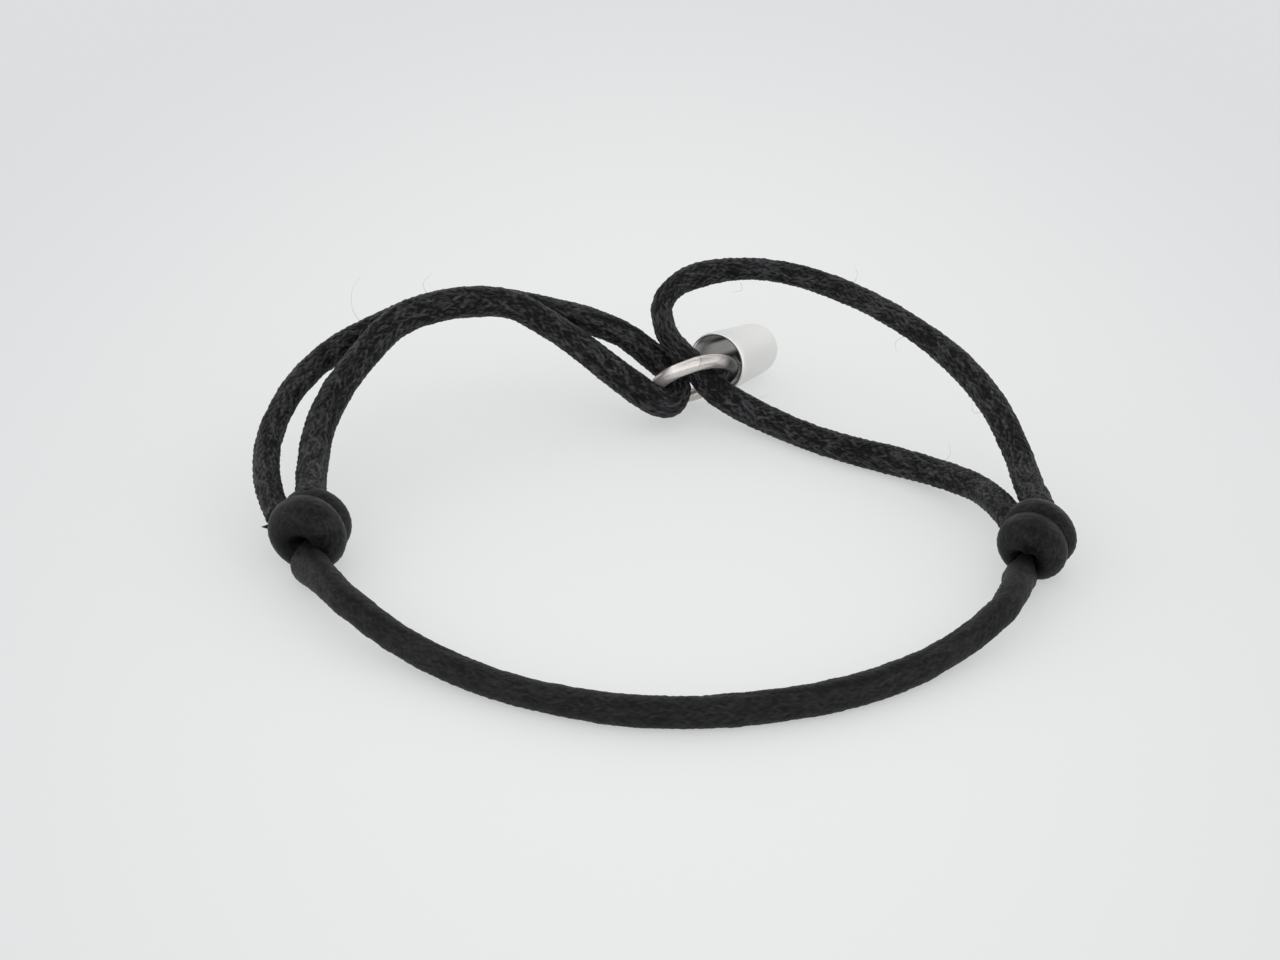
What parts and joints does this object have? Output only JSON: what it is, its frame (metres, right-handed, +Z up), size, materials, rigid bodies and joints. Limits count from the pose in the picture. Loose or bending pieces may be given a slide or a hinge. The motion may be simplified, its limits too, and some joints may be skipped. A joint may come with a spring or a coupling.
{
  "type": "cord bracelet",
  "caption": "Adjustable black satin cord bracelet with sliding knots, a polished jump ring and a small hollow metal charm, lying open on a table.",
  "frame": {"origin": "centre of the bounding box in plan, on the table the bracelet lies on", "axes": "+X towards the right knot, +Y from the single front cord towards the jump ring, +Z up from the table"},
  "size_m": [0.0607, 0.0535, 0.012],
  "materials": {
    "satin_cord": "braided satin",
    "knot_cord": "tight smooth satin",
    "ring_metal": "polished",
    "charm_metal": "polished"
  },
  "bodies": {
    "root": {"front_cord": "satin_cord", "left_loop": "satin_cord", "right_loop": "satin_cord", "left_knot": "knot_cord", "right_knot": "knot_cord", "jump_ring": "ring_metal", "charm": "charm_metal"}
  },
  "joints": []
}
